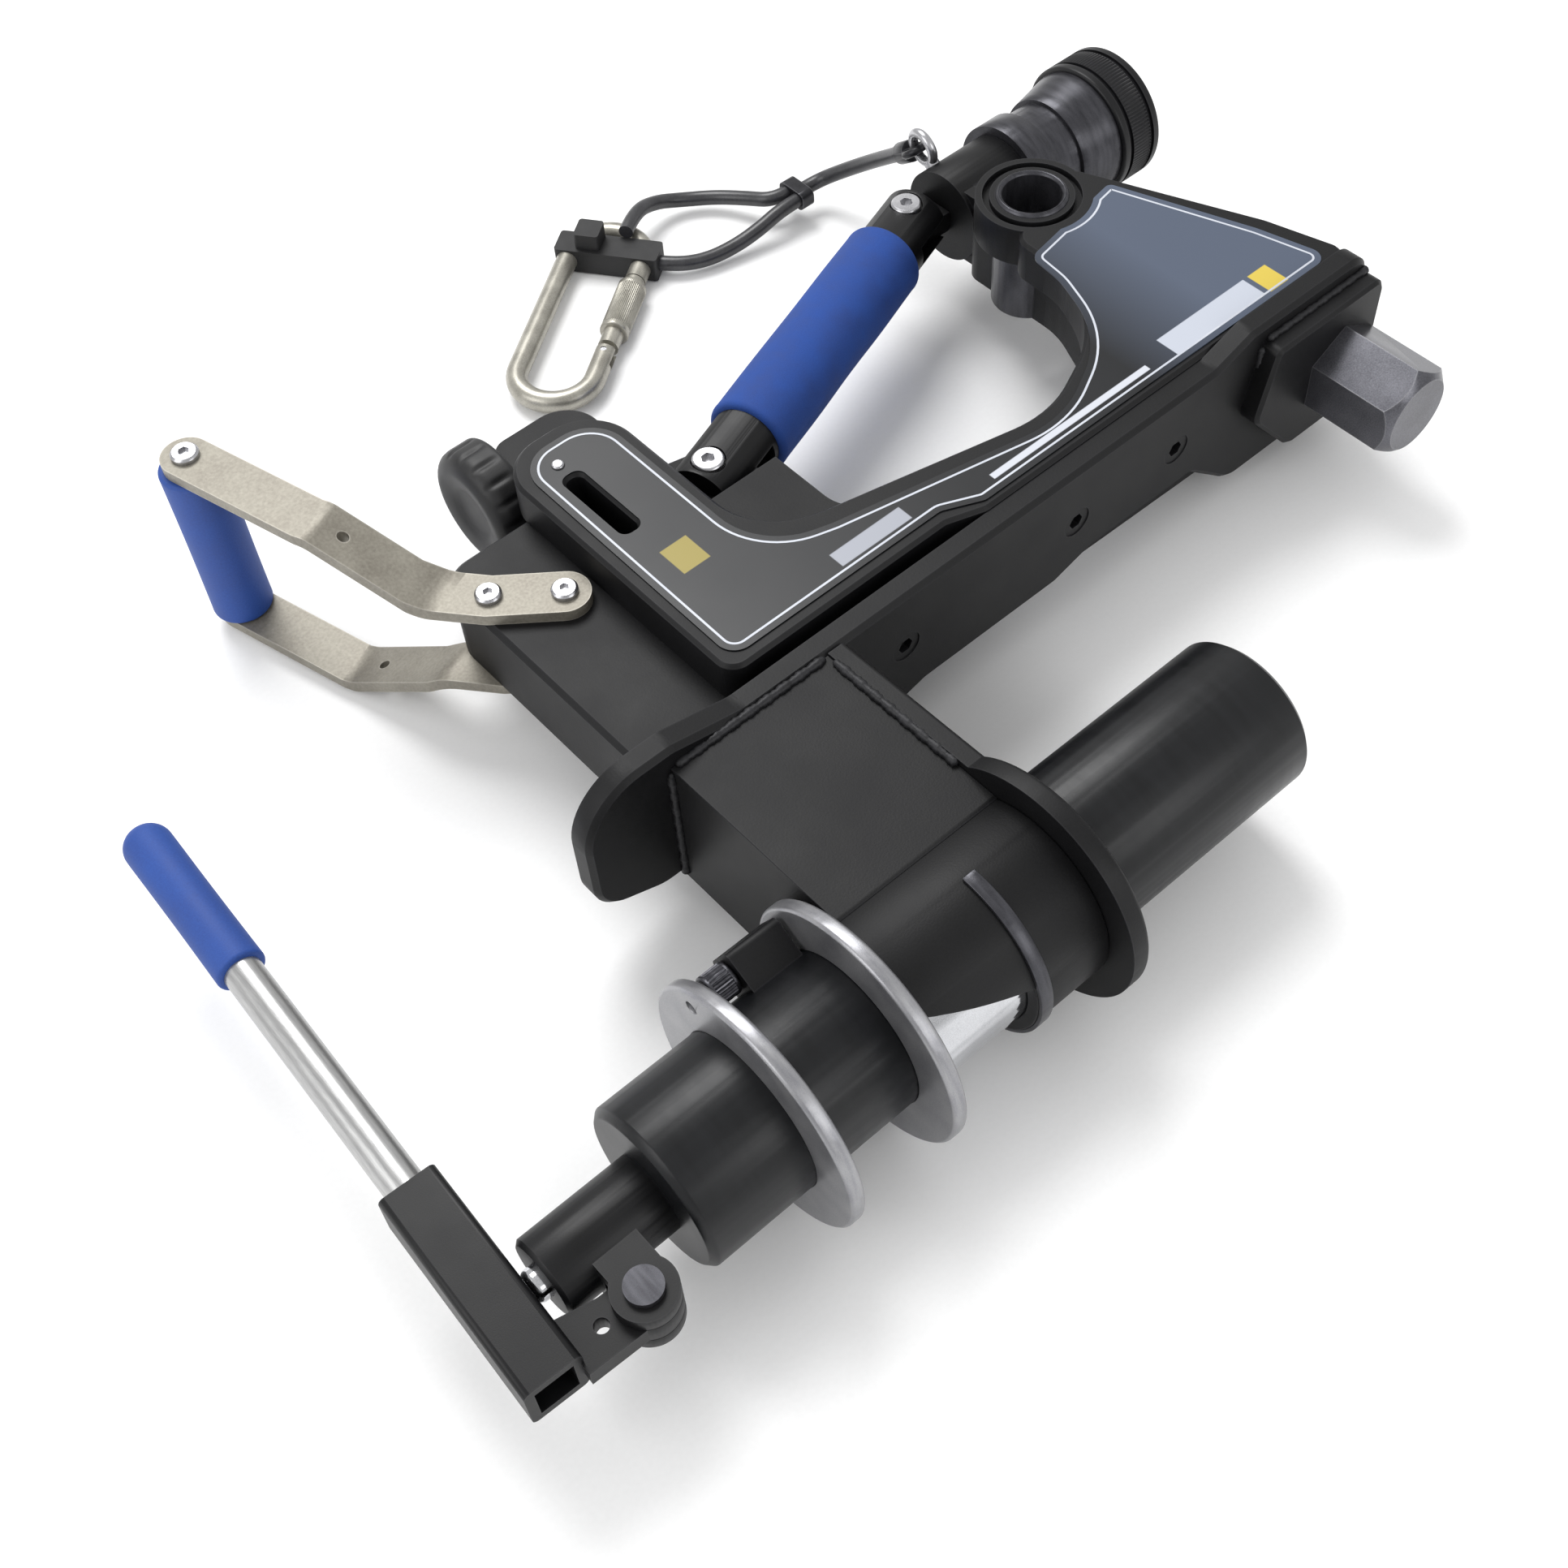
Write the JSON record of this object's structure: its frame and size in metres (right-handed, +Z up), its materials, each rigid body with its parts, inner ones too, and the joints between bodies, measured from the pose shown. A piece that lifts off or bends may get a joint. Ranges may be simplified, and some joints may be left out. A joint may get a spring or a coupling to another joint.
{
  "type": "flange alignment tool",
  "caption": "C-shaped hydraulic flange alignment tool with a stepped pin, pushing ram, hand pump lever, two handles and a tethered screw-gate carabiner.",
  "frame": {"origin": "on the outer face of the wing plate, in the tool's middle plane, level with the outer face of the bracket's end flange", "axes": "+X along the hydraulic axis, the way the ram pushes; +Y from the wing into the open side of the C; +Z up, out of the covered face"},
  "size_m": [0.568, 0.472, 0.096],
  "materials": {
    "phosphate_steel": "dull black oxide on forged steel",
    "printed_film": "satin printed film, blank",
    "dark_plated_steel": "turned, dark plated",
    "zinc_steel": "zinc plated",
    "satin_steel": "satin",
    "blued_steel": "blued, turned",
    "hard_chrome": "hard chrome",
    "seal_rubber": "nitrile",
    "bronze": "bearing bronze",
    "black_alloy": "black anodised",
    "satin_alloy": "satin",
    "blue_grip": "moulded, matt blue",
    "blue_foam": "closed cell foam, blue",
    "black_knob": "moulded, matt black",
    "coated_rope": "wire rope in dark plastic coat",
    "black_ferrule": "pressed, dark",
    "keeper_rubber": "moulded black"
  },
  "bodies": {
    "frame": {"anchor_eye": "satin_steel", "barrel": "blued_steel", "boss_bush": "dark_plated_steel", "bottom_pad": "phosphate_steel", "box_arm": "phosphate_steel", "carabiner": "satin_alloy", "carry_bar_bottom": "zinc_steel", "carry_bar_top": "zinc_steel", "carry_rod": "satin_steel", "carry_screws": "satin_steel", "core_plate": "phosphate_steel", "cover_sheet": "printed_film", "end_flange": "phosphate_steel", "ferrule": "black_ferrule", "gate_pin": "satin_steel", "gauge_rivet": "zinc_steel", "hex_stub": "dark_plated_steel", "holder_band": "satin_steel", "holder_barrel": "phosphate_steel", "keeper": "keeper_rubber", "lanyard_lead": "coated_rope", "lanyard_lower": "coated_rope", "lanyard_upper": "coated_rope", "pin_hub": "phosphate_steel", "pivot_pin": "dark_plated_steel", "pump_block": "black_alloy", "ram_guide": "bronze", "ring_front": "zinc_steel", "ring_rear": "zinc_steel", "strut_bolts": "zinc_steel", "strut_grip": "blue_foam", "strut_lug": "phosphate_steel", "strut_tube": "black_alloy", "stub_block": "phosphate_steel", "swage_end": "black_ferrule", "top_pad": "phosphate_steel", "valve_block": "phosphate_steel", "wing_plate": "phosphate_steel", "wing_screws": "phosphate_steel"},
    "ram": {"ram": "hard_chrome", "piston_seal": "seal_rubber", "thrust_sleeve": "blued_steel"},
    "lever": {"lever_socket": "black_alloy", "lever_tube": "satin_alloy", "lever_grip": "blue_grip"},
    "plunger": {"plunger": "hard_chrome"},
    "release_screw": {"release_screw": "dark_plated_steel"},
    "stepped_pin": {"stepped_pin": "dark_plated_steel", "knurled_collar": "phosphate_steel"},
    "end_knob": {"end_knob": "black_knob", "knob_stud": "satin_steel"},
    "gate": {"gate": "satin_alloy"},
    "gate_sleeve": {"gate_sleeve": "satin_alloy"},
    "carry_grip": {"carry_grip": "blue_grip"}
  },
  "joints": [
    {"name": "ram_stroke", "type": "slide", "parent": "frame", "child": "ram", "axis": [1, 0, 0], "range_m": [0, 0.05]},
    {"name": "lever_swing", "type": "hinge", "parent": "frame", "child": "lever", "pos_m": [-0.199, -0.129, 0], "axis": [0, 0, 1], "range_deg": [0, 40]},
    {"name": "plunger_stroke", "type": "slide", "parent": "frame", "child": "plunger", "axis": [1, 0, 0], "range_m": [-0.0185, 0.0005]},
    {"name": "release_turn", "type": "hinge", "parent": "frame", "child": "release_screw", "pos_m": [-0.113, -0.06909, 0.019], "axis": [1, 0, 0], "range_deg": [0, 360]},
    {"name": "pin_turn", "type": "hinge", "parent": "frame", "child": "stepped_pin", "pos_m": [0.25, 0.172, 0], "axis": [1, 0, 0], "continuous": true},
    {"name": "knob_turn", "type": "hinge", "parent": "frame", "child": "end_knob", "pos_m": [-0.0283, 0.172, 0], "axis": [1, 0, 0], "continuous": true},
    {"name": "gate_swing", "type": "hinge", "parent": "frame", "child": "gate", "pos_m": [0.07415, 0.24545, -0.041], "axis": [0, 0, 1], "range_deg": [0, 22], "stiffness_Nm_per_rad": 0.03, "springref_deg": -11.46},
    {"name": "gate_sleeve_turn", "type": "hinge", "parent": "gate", "child": "gate_sleeve", "pos_m": [0.09942, 0.2634, -0.041], "axis": [0.8151, 0.5793, 0], "continuous": true},
    {"name": "carry_grip_turn", "type": "hinge", "parent": "frame", "child": "carry_grip", "pos_m": [-0.126, 0.2335, 0], "axis": [0, 0, 1], "continuous": true}
  ],
  "couplings": [
    {"joint": "plunger_stroke", "follows": "lever_swing", "m_per_rad": -0.0255}
  ]
}
